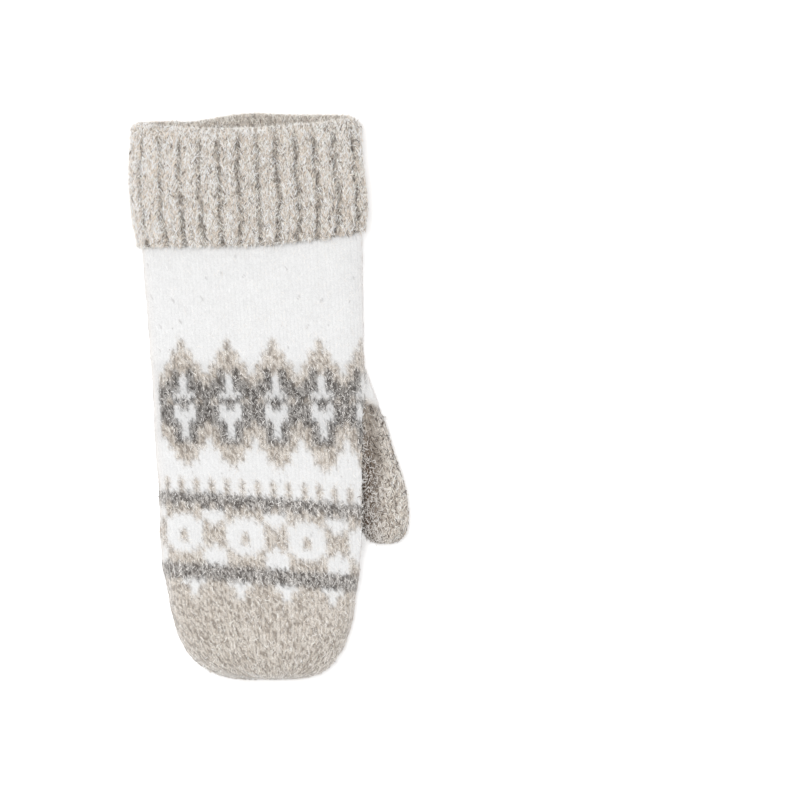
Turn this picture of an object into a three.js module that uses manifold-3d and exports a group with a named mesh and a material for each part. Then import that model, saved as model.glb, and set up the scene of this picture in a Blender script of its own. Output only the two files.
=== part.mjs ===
import * as THREE from "three";
import { mergeVertices } from "three/addons/utils/BufferGeometryUtils.js";
import Module from "manifold-3d";

const wasm = await Module();
wasm.setup();

// A knitted mitten that lies on its palm, in millimetres. Its fingertips point to -Y, the mouth of its
// cuff to +Y and its thumb to +X. It rests on Z = 0.

// Sizes of the hand
const handLength = 200; // from the edge hidden in the cuff to the fingertips
const palmWidth = 94.6; // across the flattened hand
const palmThickness = 19; // highest point of the back of the hand above the surface
const knitWall = 3; // brushed two-colour knit, floats included
const tipRounding = 35; // length over which the fingertips round off seen from above
const tipSlope = 13; // length over which they close seen from the side
const tipLean = 1.5; // the end of the fingertips turns this far towards the thumb's side
const leanLength = 12; // over this length
const tipGathers = 8; // pleats drawn in round the fingertips
const gatherDepth = 1;
const gatherLength = 17;

// Sizes of the thumb
const thumbLength = 87.3; // from its root inside the hand to its tip
const thumbWidth = 23.8;
const thumbThickness = 12.5;
const thumbReach = 20.3; // how far it stands out past the edge of the hand
const thumbSetback = 59.8; // from the fingertips back to its tip
const thumbLift = 0.6; // its underside just clears the surface
const thumbRounding = 13.6;
const thumbSlope = 7;
const thumbKnit = 57; // length of the plain tube, from its seam to its tip
const seamSlant = 40; // degrees that the seam leans back over the top
const edgeTuck = 20; // width of the hand's underside that is raised over the thumb

// Sizes of the cuff
const cuffWidth = 105.2;
const cuffDepth = 55; // from its free edge to the fold at the mouth
const cuffOverlap = 10.4; // how far it covers the hand
const cuffPly = 3.2; // one thickness of ribbing
const plyGap = 0.4; // between the two plies, and between the cuff and the hand
const mouthHeight = 8; // of the hollow between the inner plies
const cuffShift = 3.5; // the cuff is turned a little towards the side without the thumb
const ribCount = 26;
const ribDepth = 1;
const mouthSwing = 4.4; // how far the mouth's fold waves, mostly because the lower side reaches further
const edgeSwing = 7; // how far the free edge slants
const liftRun = 18; // length over which the hand sinks to the surface past the cuff
const sideRun = 5; // length over which its sides swell past the cuff

// Sizes and shares that the pieces have in common
const seamGap = 0.3; // between pieces that are knitted together
const edgeShare = 0.45; // height of the sides as a share of the thickness
const crownShare = 0.16; // fall of the top from the middle to the sides, likewise
const cuffCrown = 0.08; // the same for the cuff
const cornerWidth = 13; // width of the rounded sides
const cornerPart = 0.25; // share of the points over each half that goes to one rounded side
const cornerMost = 0.95; // rounded sides never take more of a half than this
const tipBlunt = 0.2; // length of a closed end that stays flat
const endPower = 1.6; // how squarely a closed end rounds off seen from above
const endRoot = 0.27;
const edgeRound = 0.3; // how far the free edge of the ribbing rounds off, as a share of its ply
const overrun = 4; // how far a hollow runs past the end that it opens
const gathersSharp = 2; // the higher, the narrower the pleats and the valleys between ribs

// Numbers of rings and points
const handGrid = { along: 26, tip: 10, around: 40 };
const handHollowGrid = { along: 20, tip: 7, around: 32 };
const thumbGrid = { along: 10, tip: 6, around: 24 };
const thumbHollowGrid = { along: 10, tip: 6, around: 20 };
const ribPoints = 4; // round the cuff for each rib
const outerRings = 7; // up the cuff's outer ply
const foldRings = 6; // round the fold at its mouth
const evenSteps = 720; // for finding evenly spaced places round the cuff
const hair = 0.04; // points closer than this are one
const needle = 0.008; // faces thinner than this are turned
const needlePasses = 6;

// Places that follow from the sizes
const cuffThickness = 2 * (2 * cuffPly + plyGap) + mouthHeight;
const cuffInset = cuffPly + plyGap;
const totalLength = handLength - cuffOverlap + cuffDepth + mouthSwing;
const tipY = -totalLength / 2;
const wristY = tipY + handLength;
const freeEdgeY = wristY - cuffOverlap;
const mouthY = freeEdgeY + cuffDepth;
const handX = (cuffShift + cuffWidth / 2 - palmWidth / 2 - thumbReach) / 2;
const cuffX = handX - cuffShift;
const handEdgeX = handX + palmWidth / 2;
const thumbTipY = tipY + thumbSetback;
const thumbRootY = thumbTipY + thumbLength;
const seamY = thumbTipY + thumbKnit;

// Sections of the hand: along in shares of handLength, left and right in shares of half the palmWidth,
// top in shares of palmThickness, tuck is how fully the underside is raised over the thumb
const handSections = [
  { along: 0.0, left: 1.05, right: 1.0, top: 0.93, tuck: 0 },
  { along: 0.08, left: 1.05, right: 1.005, top: 0.9, tuck: 0 },
  { along: 0.156, left: 1.023, right: 1.005, top: 0.9, tuck: 0 },
  { along: 0.262, left: 0.99, right: 1.015, top: 0.93, tuck: 0 },
  { along: 0.367, left: 0.953, right: 1.013, top: 0.98, tuck: 0.4 },
  { along: 0.42, left: 0.945, right: 1.008, top: 1.0, tuck: 0.95 },
  { along: 0.473, left: 0.937, right: 1.004, top: 1.0, tuck: 1 },
  { along: 0.579, left: 0.899, right: 1.0, top: 0.99, tuck: 1 },
  { along: 0.684, left: 0.886, right: 1.0, top: 0.95, tuck: 1 },
  { along: 0.755, left: 0.86, right: 0.977, top: 0.92, tuck: 0.35 },
  { along: 0.825, left: 0.804, right: 0.936, top: 0.88, tuck: 0 },
  { along: 1.0, left: 0.781, right: 0.959, top: 0.8, tuck: 0 },
];

// Sections of the thumb: along in shares of thumbLength, out is its outer side in shares of thumbReach
// past the edge of the hand, wide in shares of thumbWidth, top in shares of thumbThickness
const thumbSections = [
  { along: 0.0, out: -0.12, wide: 0.85, top: 0.9 },
  { along: 0.16, out: 0.14, wide: 0.93, top: 0.95 },
  { along: 0.4, out: 0.51, wide: 0.98, top: 1.0 },
  { along: 0.56, out: 0.71, wide: 0.98, top: 1.0 },
  { along: 0.72, out: 0.94, wide: 1.03, top: 0.98 },
  { along: 0.84, out: 1.0, wide: 1.0, top: 0.95 },
  { along: 1.0, out: 1.06, wide: 1.0, top: 0.9 },
];

// Sections of the cuff: along in shares of cuffDepth from the free edge, left and right in shares of
// half the cuffWidth
const cuffSections = [
  { along: 0.0, left: 0.932, right: 0.97 },
  { along: 0.19, left: 0.967, right: 1.008 },
  { along: 0.39, left: 0.992, right: 1.017 },
  { along: 0.65, left: 1.0, right: 0.985 },
  { along: 0.9, left: 0.985, right: 0.967 },
  { along: 1.0, left: 0.977, right: 0.96 },
];

// The cuff's two edges, round from the left side over the top and back below: mouth in shares of
// mouthSwing, edge in shares of edgeSwing
const cuffEdges = [
  { round: 0.0, mouth: 0.05, edge: 0 },
  { round: 0.11, mouth: -0.3, edge: 0.03 },
  { round: 0.2, mouth: -0.55, edge: 0.06 },
  { round: 0.27, mouth: -0.45, edge: 0.11 },
  { round: 0.31, mouth: -0.25, edge: 0.27 },
  { round: 0.39, mouth: 0.15, edge: 0.7 },
  { round: 0.45, mouth: 0.42, edge: 0.92 },
  { round: 0.5, mouth: 0.3, edge: 1 },
  { round: 0.56, mouth: 0.8, edge: 0.9 },
  { round: 0.66, mouth: 0.85, edge: 0.6 },
  { round: 0.75, mouth: 1, edge: 0.35 },
  { round: 0.79, mouth: 0.7, edge: 0.25 },
  { round: 0.83, mouth: 0.27, edge: 0.2 },
  { round: 0.9, mouth: 0.2, edge: 0.1 },
  { round: 1.0, mouth: 0.05, edge: 0 },
];

// Smooth values between the rows of a table, whose first column says where each row stands
function follow(rows) {
  const [place, ...columns] = Object.keys(rows[0]);
  const places = rows.map((row) => row[place]);
  const values = rows.flatMap((row) => columns.map((column) => row[column]));
  const curve = new THREE.CubicInterpolant(places, values, columns.length);
  return (at) => {
    const found = curve.evaluate(THREE.MathUtils.clamp(at, places[0], places.at(-1)));
    return Object.fromEntries(columns.map((column, i) => [column, found[i]]));
  };
}

const handAt = follow(handSections);
const thumbAt = follow(thumbSections);
const cuffAt = follow(cuffSections);
const cuffEdgeAt = follow(cuffEdges);
const mix = THREE.MathUtils.lerp;
const ease = THREE.MathUtils.smoothstep;

// How a closed end rounds off at a distance from its tip: blunt from above, round from the side
function bluntEnd(fromTip, rounding) {
  const share = Math.max(0, 1 - (fromTip + tipBlunt) / rounding);
  return (1 - share ** endPower) ** endRoot;
}

function roundEnd(fromTip, slope) {
  const share = Math.max(0, 1 - (fromTip + tipBlunt) / slope);
  return Math.sqrt(1 - share ** 2);
}

// One point of a flattened tube's outline: turn runs from 0 at the left side over the top to 0.5 at the
// right side and back below, and inset moves it into the wall
function outlinePoint(tube, inset, turn) {
  const over = turn < 0.5;
  const way = (over ? turn : turn - 0.5) * 2;
  const side = over === way < 0.5 ? -1 : 1;
  const middle = (tube.left + tube.right) / 2;
  const half = ((tube.right - tube.left) / 2 - inset) * tube.round;
  const tucked = !over && side > 0 ? tube.tuck : 0;
  const cornerOf = (tuck) => Math.min(mix(cornerWidth, edgeTuck, tuck), half * cornerMost);
  const leftCorner = middle - half + cornerOf(0);
  const rightCorner = middle + half - cornerOf(over ? 0 : tube.tuck);
  const angle = (Math.min(way, 1 - way, cornerPart) / cornerPart) * (Math.PI / 2);
  const bend = mix(1, 2, tucked);
  const share = THREE.MathUtils.clamp((way - cornerPart) / (1 - 2 * cornerPart), 0, 1);
  const level = mix(leftCorner, rightCorner, over ? share : 1 - share);
  const inCorner = Math.min(way, 1 - way) < cornerPart;
  const x = inCorner ? middle + side * (half - cornerOf(tucked) * (1 - Math.cos(angle) ** bend)) : level;
  const fall = tube.crown * ((x - middle) / half) ** 2;
  const top = Math.max(tube.top - inset - fall, tube.bottom + inset);
  const target = over ? top : tube.bottom + inset;
  const edge = side > 0 ? tube.edgeRight : tube.edgeLeft;
  const heldEdge = THREE.MathUtils.clamp(edge, tube.bottom + inset, top);
  return new THREE.Vector2(x, mix(heldEdge, target, Math.sin(angle) ** bend * tube.close));
}

// Flattened tubes of the three pieces at a place along Y
function cuffTube(y) {
  const row = cuffAt((y - freeEdgeY) / cuffDepth);
  const edge = cuffThickness / 2;
  return {
    left: cuffX - (row.left * cuffWidth) / 2,
    right: cuffX + (row.right * cuffWidth) / 2,
    bottom: 0,
    top: cuffThickness,
    crown: cuffThickness * cuffCrown,
    edgeLeft: edge,
    edgeRight: edge,
    tuck: 0,
    round: 1,
    close: 1,
  };
}

function handTube(y, inset) {
  const row = handAt((wristY - y) / handLength);
  const fromTip = y - tipY - inset;
  const height = palmThickness * row.top;
  const raised = thumbLift + thumbThickness + seamGap;
  const cuff = cuffTube(y);
  const lift = ease(y, freeEdgeY - liftRun, freeEdgeY);
  const freeRight = freeEdgeY + edgeSwing;
  const leftIn = ease(y, freeEdgeY - sideRun, freeEdgeY);
  const rightIn = ease(y, freeRight - sideRun, freeRight);
  const edge = height * edgeShare;
  const middle = handX + tipLean * (1 - ease(fromTip, 0, leanLength));
  return {
    left: mix(middle - (row.left * palmWidth) / 2, cuff.left + cuffInset, leftIn),
    right: mix(middle + (row.right * palmWidth) / 2, cuff.right - cuffInset, rightIn),
    bottom: mix(0, cuffInset, lift),
    top: mix(height, cuffThickness - cuffInset, lift),
    crown: mix(palmThickness * crownShare, cuff.crown, lift),
    edgeLeft: mix(edge, cuff.edgeLeft, lift),
    edgeRight: mix(mix(edge, raised, row.tuck), cuff.edgeRight, lift),
    tuck: row.tuck,
    round: bluntEnd(fromTip, tipRounding),
    close: roundEnd(fromTip, tipSlope),
  };
}

function thumbTube(y, inset) {
  const row = thumbAt((thumbRootY - y) / thumbLength);
  const fromTip = y - thumbTipY - inset;
  const right = handEdgeX + thumbReach * row.out;
  const height = thumbThickness * row.top;
  return {
    left: right - thumbWidth * row.wide,
    right,
    bottom: thumbLift,
    top: thumbLift + height,
    crown: height * crownShare,
    edgeLeft: thumbLift + height * edgeShare,
    edgeRight: thumbLift + height * edgeShare,
    tuck: 0,
    round: bluntEnd(fromTip, thumbRounding),
    close: roundEnd(fromTip, thumbSlope),
  };
}

// Places along a tube from its open end to its tip, closer together where the tip rounds off
function stations(start, end, rounding, grid) {
  const places = [];
  const shoulder = end + rounding;
  for (let i = 0; i < grid.along; i++) places.push(mix(start, shoulder, i / grid.along));
  for (let i = 0; i <= grid.tip; i++) {
    places.push(end + rounding * (1 - Math.sin(((i / grid.tip) * Math.PI) / 2)));
  }
  return places;
}

// Closed body through rings of equally many points, each a list of Vector3, with or without end faces
function skin(rings, joined) {
  const count = rings[0].length;
  const positions = rings.flat().flatMap((point) => point.toArray());
  const faces = [];
  const spans = joined ? rings.length : rings.length - 1;
  for (let r = 0; r < spans; r++) {
    for (let i = 0; i < count; i++) {
      const [here, next] = [r * count, ((r + 1) % rings.length) * count];
      const j = (i + 1) % count;
      faces.push(here + i, next + j, here + j, here + i, next + i, next + j);
    }
  }
  if (!joined) {
    for (const [ring, first] of [[rings[0], true], [rings.at(-1), false]]) {
      const centre = ring.reduce((sum, point) => sum.add(point), new THREE.Vector3()).divideScalar(count);
      const start = first ? 0 : (rings.length - 1) * count;
      const hub = positions.length / 3;
      positions.push(...centre.toArray());
      for (let i = 0; i < count; i++) {
        const [a, b] = [start + i, start + ((i + 1) % count)];
        faces.push(hub, ...(first ? [a, b] : [b, a]));
      }
    }
  }
  const geometry = new THREE.BufferGeometry();
  geometry.setAttribute("position", new THREE.Float32BufferAttribute(positions, 3));
  geometry.setIndex(faces);
  return geometry;
}

function solid(geometry) {
  const bare = geometry.clone();
  bare.deleteAttribute("normal");
  bare.deleteAttribute("uv");
  const merged = mergeVertices(bare);
  return new wasm.Manifold(
    new wasm.Mesh({
      numProp: 3,
      vertProperties: new Float32Array(merged.attributes.position.array),
      triVerts: new Uint32Array(merged.index.array),
    }),
  );
}

// Turns the longest side of each needle-thin face, so that it joins the two corners across that side
function turnNeedles(corners, points) {
  const following = (i) => (i % 3 === 2 ? i - 2 : i + 1);
  const corner = (i) => new THREE.Vector3().fromBufferAttribute(points, corners[i]);
  const length = (i) => corner(i).distanceTo(corner(following(i)));
  const owners = new Map(corners.map((name, i) => [`${name} ${corners[following(i)]}`, i]));
  const turned = new Set();
  for (let face = 0; face < corners.length; face += 3) {
    const longest = [0, 1, 2].map((i) => face + i).sort((a, b) => length(b) - length(a))[0];
    const area = new THREE.Triangle(corner(face), corner(face + 1), corner(face + 2)).getArea();
    const across = owners.get(`${corners[following(longest)]} ${corners[longest]}`);
    const other = across - (across % 3);
    if ((2 * area) / length(longest) > needle || turned.has(face) || turned.has(other)) continue;
    const [from, to] = [corners[longest], corners[following(longest)]];
    const [near, far] = [longest, across].map((i) => corners[following(following(i))]);
    if (near === far || owners.has(`${near} ${far}`)) continue;
    corners.splice(face, 3, near, from, far);
    corners.splice(other, 3, far, to, near);
    turned.add(face).add(other);
  }
  return turned.size;
}

// Leaves out faces without three corners of their own, and pairs of faces that lie back to back
function wholeFaces(corners) {
  const faces = new Map();
  for (let i = 0; i < corners.length; i += 3) {
    const face = corners.slice(i, i + 3);
    const name = [...face].sort().join(" ");
    if (new Set(face).size < 3) continue;
    if (faces.has(name)) faces.delete(name);
    else faces.set(name, face);
  }
  return [...faces.values()].flat();
}

// Mesh of a body, with points that lie closer than a hair made one and needle-thin faces turned
function shape(body) {
  const mesh = body.getMesh();
  const cut = new THREE.BufferGeometry();
  cut.setAttribute("position", new THREE.BufferAttribute(new Float32Array(mesh.vertProperties), 3));
  cut.setIndex(new THREE.BufferAttribute(new Uint32Array(mesh.triVerts), 1));
  const geometry = mergeVertices(cut, hair);
  let corners = wholeFaces(Array.from(geometry.index.array));
  for (let pass = 0; pass < needlePasses && turnNeedles(corners, geometry.attributes.position); pass++) {
    corners = wholeFaces(corners);
  }
  geometry.setIndex(wholeFaces(corners));
  geometry.computeVertexNormals();
  return geometry;
}

// Closed tube through stations, with relief as an extra inset at a turn and place
function tubeBody(places, tubeAt, inset, points, relief = () => 0) {
  const rings = places.map((y) => {
    const tube = tubeAt(y);
    const ring = [];
    for (let i = 0; i < points; i++) {
      const spot = outlinePoint(tube, inset + relief(i / points, y), i / points);
      ring.push(new THREE.Vector3(spot.x, y, spot.y));
    }
    return ring;
  });
  return solid(skin(rings, false));
}

const valley = (turns) => (0.5 + 0.5 * Math.cos(2 * Math.PI * turns)) ** gathersSharp;
const gathers = (turn, y) => {
  return gatherDepth * (1 - ease(y - tipY, 0, gatherLength)) * valley(tipGathers * turn);
};

const handOuter = tubeBody(
  stations(wristY, tipY, tipRounding, handGrid),
  (y) => handTube(y, 0),
  0,
  handGrid.around,
  gathers,
);
const handInner = tubeBody(
  stations(wristY + overrun, tipY + knitWall, tipRounding, handHollowGrid),
  (y) => handTube(y, knitWall),
  knitWall,
  handHollowGrid.around,
);

// The thumb's tube from a place near its root, moved inwards by an inset or outwards by less than none
function thumbAround(inset, start, grid) {
  const places = stations(start, thumbTipY + inset, thumbRounding, grid);
  return tubeBody(places, (y) => thumbTube(y, inset), inset, grid.around);
}

const thumbOuter = thumbAround(0, thumbRootY, thumbGrid);
const thumbInner = thumbAround(knitWall, thumbRootY - knitWall, thumbHollowGrid);
const thumbRoom = thumbAround(-seamGap, thumbRootY, thumbGrid);
const thumbCover = thumbAround(-seamGap - knitWall / 2, thumbRootY, thumbHollowGrid);

// Everything past the slanted seam of the thumb, moved towards its tip by a distance
function pastSeam(shift) {
  const reach = thumbKnit + thumbRounding;
  const block = new THREE.BoxGeometry(palmWidth * 2, reach, palmWidth);
  block.translate(0, -reach / 2, 0);
  block.rotateX(THREE.MathUtils.degToRad(seamSlant));
  block.translate(handEdgeX, seamY - shift, thumbThickness / 2);
  return solid(block);
}

// The hand makes room for the thumb past the seam, with knit between that room and its hollow, and its
// own knit runs on a seamGap into that room
const handBody = handOuter
  .subtract(thumbRoom.intersect(pastSeam(0)))
  .add(thumbOuter.subtract(pastSeam(seamGap)))
  .subtract(handInner.subtract(thumbCover.intersect(pastSeam(-knitWall / 2))))
  .subtract(thumbInner);
const thumbBody = thumbOuter.intersect(pastSeam(2 * seamGap)).subtract(thumbInner);

// Turns that stand evenly round the middle of the cuff, so that its ribs are equally wide
function evenTurns(count) {
  const tube = cuffTube((freeEdgeY + mouthY) / 2);
  const lengths = [0];
  for (let i = 1; i <= evenSteps; i++) {
    const ends = [(i - 1) / evenSteps, (i % evenSteps) / evenSteps];
    const [from, to] = ends.map((turn) => outlinePoint(tube, 0, turn));
    lengths.push(lengths.at(-1) + from.distanceTo(to));
  }
  const turns = [];
  for (let i = 0, at = 1; i < count; i++) {
    const wanted = (i / count) * lengths.at(-1);
    while (lengths[at] < wanted) at++;
    const share = (wanted - lengths[at - 1]) / (lengths[at] - lengths[at - 1]);
    turns.push((at - 1 + share) / evenSteps);
  }
  return turns;
}

// The cuff's knit folded on itself: each stop says how far into the cuff it lies, from which edge it is
// reckoned and how far from that, and whether the ribs show there
function foldedPly() {
  const bend = cuffPly + plyGap / 2;
  const inner = cuffInset + cuffPly;
  const stops = [];
  const run = (from, to, steps) => [...Array(steps).keys()].map((i) => mix(from, to, i / steps));
  stops.push({ inset: cuffPly * edgeRound, part: 0, rib: 1 - edgeRound });
  for (const part of run(edgeRound / 10, 1, outerRings)) stops.push({ inset: 0, part, back: bend, rib: 1 });
  for (const angle of run(0, Math.PI, foldRings)) {
    const inset = bend * (1 - Math.cos(angle));
    stops.push({ inset, part: 1, back: bend * (1 - Math.sin(angle)), rib: Math.cos(angle / 2) });
  }
  stops.push({ inset: inner, part: 1, back: bend, rib: 0 });
  stops.push({ inset: inner, wrist: 0.5, rib: 0 });
  stops.push({ inset: inner, wrist: 0, rib: 0 });
  stops.push({ inset: cuffInset, wrist: 0, rib: 0 });
  stops.push({ inset: cuffInset, wrist: 0.5, rib: 0 });
  stops.push({ inset: cuffInset, part: 1, back: bend, rib: 0 });
  stops.push({ inset: cuffPly, part: 1, back: bend, rib: 0 });
  stops.push({ inset: cuffPly, part: 0.5, back: bend, rib: 0 });
  stops.push({ inset: cuffPly * (1 - edgeRound), part: 0, rib: 0 });
  return stops;
}

function cuffBody() {
  const bend = cuffPly + plyGap / 2;
  const turns = evenTurns(ribCount * ribPoints);
  const rings = foldedPly().map((stop) =>
    turns.map((turn, i) => {
      const edges = cuffEdgeAt(turn);
      const mouth = mouthY + edges.mouth * mouthSwing;
      const edge = freeEdgeY + edges.edge * edgeSwing;
      const innerEnd = wristY + seamGap;
      const onFold = stop.part === 1 ? bend - stop.back : 0;
      const along = "wrist" in stop ? [innerEnd, stop.wrist] : [edge, stop.part];
      const y = mix(along[0], mouth - bend, along[1]) + onFold;
      const inset = stop.inset + ribDepth * valley(i / ribPoints) * stop.rib;
      const spot = outlinePoint(cuffTube(y), inset, turn);
      return new THREE.Vector3(spot.x, y, spot.y);
    }),
  );
  return solid(skin(rings.reverse(), true));
}

const beige = "#cbc2b8";
const white = "#f3f1ee";
const wool = (color) => new THREE.MeshStandardMaterial({ color, roughness: 0.95, metalness: 0 });

const pieces = [
  { name: "hand", body: handBody, color: white },
  { name: "thumb", body: thumbBody, color: beige },
  { name: "cuff", body: cuffBody(), color: beige },
];

const group = new THREE.Group();
for (const { name, body, color } of pieces) {
  const mesh = new THREE.Mesh(shape(body), wool(color));
  mesh.name = name;
  group.add(mesh);
}

export default group;
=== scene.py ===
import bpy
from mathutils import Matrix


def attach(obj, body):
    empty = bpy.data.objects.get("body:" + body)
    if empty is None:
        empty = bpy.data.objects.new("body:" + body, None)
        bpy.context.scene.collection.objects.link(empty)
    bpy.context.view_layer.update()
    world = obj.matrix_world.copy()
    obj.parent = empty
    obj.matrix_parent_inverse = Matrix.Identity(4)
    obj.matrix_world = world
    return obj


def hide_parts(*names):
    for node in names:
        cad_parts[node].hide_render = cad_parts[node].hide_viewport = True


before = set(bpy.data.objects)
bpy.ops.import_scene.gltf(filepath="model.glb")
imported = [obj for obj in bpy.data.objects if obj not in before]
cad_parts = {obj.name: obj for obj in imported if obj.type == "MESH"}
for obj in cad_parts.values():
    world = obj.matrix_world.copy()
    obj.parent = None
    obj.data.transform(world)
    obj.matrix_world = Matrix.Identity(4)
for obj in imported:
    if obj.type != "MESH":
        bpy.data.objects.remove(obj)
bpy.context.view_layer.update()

import math
from types import SimpleNamespace

import bpy
import numpy as np

# Lengths are millimetres until a mesh is made. The fingertips point to -Y and the thumb to +X.
millimetre = 0.001
pixel = 0.44  # millimetres of the mitten for one pixel of the photograph
pictureSide = 800  # pixels
pictureZero = (268.5, 396.5)  # the pixel that lies over the frame's origin
random = np.random.default_rng(411)
print("mitten: frame loaded")


def mix(a, b, share):
    return a + (b - a) * share


def ease(value, low, high):
    share = np.clip((value - low) / (high - low), 0, 1)
    return share * share * (3 - 2 * share)


def toLinear(hexColour):
    parts = np.array([int(hexColour[i : i + 2], 16) / 255 for i in (1, 3, 5)])
    return np.where(parts <= 0.04045, parts / 12.92, ((parts + 0.055) / 1.055) ** 2.4)


# Sizes and sections of the form, as the solids have them
size = SimpleNamespace(
    handLength=200, palmWidth=94.6, palmThickness=19, knitWall=3, tipRounding=35, tipSlope=13,
    tipLean=1.5, leanLength=12, tipGathers=8, gatherDepth=1, gatherLength=17,
    thumbLength=87.3, thumbWidth=23.8, thumbThickness=12.5, thumbReach=20.3, thumbSetback=59.8,
    thumbLift=0.6, thumbRounding=13.6, thumbSlope=7, thumbKnit=57, seamSlant=40, edgeTuck=20,
    cuffWidth=105.2, cuffDepth=55, cuffOverlap=10.4, cuffPly=3.2, plyGap=0.4, mouthHeight=8,
    cuffShift=3.5, ribCount=26, mouthSwing=4.4, edgeSwing=7, liftRun=18,
    seamGap=0.3, edgeShare=0.45, crownShare=0.16, cuffCrown=0.08, cornerWidth=13, cornerPart=0.25,
    cornerMost=0.95, tipBlunt=0.2, endPower=1.6, endRoot=0.27, thumbEndRoot=0.34,
    hemRun=2,  # the sides of the hand narrow over this length, just inside the cuff
)
cuffThickness = 2 * (2 * size.cuffPly + size.plyGap) + size.mouthHeight
cuffInset = size.cuffPly + size.plyGap
tipY = -(size.handLength - size.cuffOverlap + size.cuffDepth + size.mouthSwing) / 2
wristY = tipY + size.handLength
freeEdgeY = wristY - size.cuffOverlap
mouthY = freeEdgeY + size.cuffDepth
handX = (size.cuffShift + size.cuffWidth / 2 - size.palmWidth / 2 - size.thumbReach) / 2
cuffX = handX - size.cuffShift
handEdgeX = handX + size.palmWidth / 2
thumbTipY = tipY + size.thumbSetback
thumbRootY = thumbTipY + size.thumbLength
seamY = thumbTipY + size.thumbKnit

handSections = {
    "along": [0, 0.08, 0.156, 0.262, 0.367, 0.42, 0.473, 0.579, 0.684, 0.755, 0.825, 1],
    "left": [1.05, 1.05, 1.023, 0.99, 0.953, 0.945, 0.937, 0.899, 0.886, 0.86, 0.804, 0.781],
    "right": [1, 1.005, 1.005, 1.015, 1.013, 1.008, 1.004, 1, 1, 0.977, 0.936, 0.959],
    "top": [0.93, 0.9, 0.9, 0.93, 0.98, 1, 1, 0.99, 0.95, 0.92, 0.88, 0.8],
    "tuck": [0, 0, 0, 0, 0.4, 0.95, 1, 1, 1, 0.35, 0, 0],
}
thumbSections = {
    "along": [0, 0.16, 0.4, 0.56, 0.72, 0.84, 1],
    "out": [-0.12, 0.14, 0.51, 0.71, 0.94, 1, 1.06],
    "wide": [0.85, 0.93, 0.98, 0.98, 1.03, 1, 1],
    "top": [0.9, 0.95, 1, 1, 0.98, 0.95, 0.9],
}
cuffSections = {
    "along": [0, 0.19, 0.39, 0.65, 0.9, 1],
    "left": [0.932, 0.967, 0.992, 1, 0.985, 0.977],
    "right": [0.97, 1.008, 1.017, 0.985, 0.967, 0.96],
}
cuffEdges = {
    "round": [0, 0.11, 0.2, 0.27, 0.31, 0.39, 0.45, 0.5, 0.56, 0.66, 0.75, 0.79, 0.83, 0.9, 1],
    "mouth": [0.05, -0.3, -0.55, -0.45, -0.25, 0.15, 0.42, 0.3, 0.8, 0.85, 1, 0.7, 0.27, 0.2, 0.05],
    "edge": [0, 0.03, 0.06, 0.11, 0.27, 0.7, 0.92, 1, 0.9, 0.6, 0.35, 0.25, 0.2, 0.1, 0],
}


# Smooth values between the rows of a table, whose first column says where each row stands
def follow(table, at):
    places, *columns = table
    x = np.array(table[places], float)
    at = np.clip(at, x[0], x[-1])
    cell = np.clip(np.searchsorted(x, at, side="right") - 1, 0, len(x) - 2)
    before = np.concatenate([[2 * x[0] - x[1]], x, [2 * x[-1] - x[-2]]])
    width = x[cell + 1] - x[cell]
    first = width / 2 / (x[cell] - before[cell])
    last = width / 2 / (before[cell + 3] - x[cell + 1])
    p = (at - x[cell]) / width
    found = {}
    for column in columns:
        v = np.array(table[column], float)
        v = np.concatenate([[v[1]], v, [v[-2]]])
        found[column] = (
            v[cell] * (-first * p**3 + 2 * first * p**2 - first * p)
            + v[cell + 1] * ((1 + first) * p**3 - (1.5 + 2 * first) * p**2 + (first - 0.5) * p + 1)
            + v[cell + 2] * ((-1 - last) * p**3 + (1.5 + last) * p**2 + 0.5 * p)
            + v[cell + 3] * (last * p**3 - last * p**2)
        )
    return found


# How a closed end rounds off at a distance from its tip: blunt from above, round from the side
def bluntEnd(fromTip, rounding, root):
    share = np.clip(1 - (fromTip + size.tipBlunt) / rounding, 0, 1)
    return (1 - share**size.endPower) ** root


def roundEnd(fromTip, slope):
    share = np.clip(1 - (fromTip + size.tipBlunt) / slope, 0, 1)
    return np.sqrt(1 - share**2)


# Outline of a flattened tube: turn runs from 0 at the left side over the top to 0.5 at the right side
# and back below, and inset moves it into the wall
def outline(tube, inset, turn):
    over = turn < 0.5
    way = np.where(over, turn, turn - 0.5) * 2
    right = over != (way < 0.5)
    middle = (tube["left"] + tube["right"]) / 2
    half = ((tube["right"] - tube["left"]) / 2 - inset) * tube["round"]
    tucked = np.where(~over & right, tube["tuck"], 0)

    def corner(tuck):
        return np.minimum(mix(size.cornerWidth, size.edgeTuck, tuck), half * size.cornerMost)

    leftCorner = middle - half + corner(0)
    rightCorner = middle + half - corner(np.where(over, 0, tube["tuck"]))
    fromSide = np.minimum(way, 1 - way)
    angle = np.minimum(fromSide, size.cornerPart) / size.cornerPart * math.pi / 2
    share = np.clip((way - size.cornerPart) / (1 - 2 * size.cornerPart), 0, 1)
    level = mix(leftCorner, rightCorner, np.where(over, share, 1 - share))
    bowed = half - corner(tucked) * (1 - np.cos(angle) ** (1 + tucked))
    x = np.where(fromSide < size.cornerPart, middle + np.where(right, bowed, -bowed), level)
    top = tube["top"] - inset - tube["crown"] * ((x - middle) / half) ** 2
    bottom = tube["bottom"] + inset
    top = np.maximum(top, bottom)
    edge = np.where(right, tube["edgeRight"], tube["edgeLeft"])
    heldEdge = np.minimum(np.maximum(edge, bottom), top)
    target = np.where(over, top, bottom)
    return x, mix(heldEdge, target, np.sin(angle) ** (1 + tucked) * tube["close"])


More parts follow.
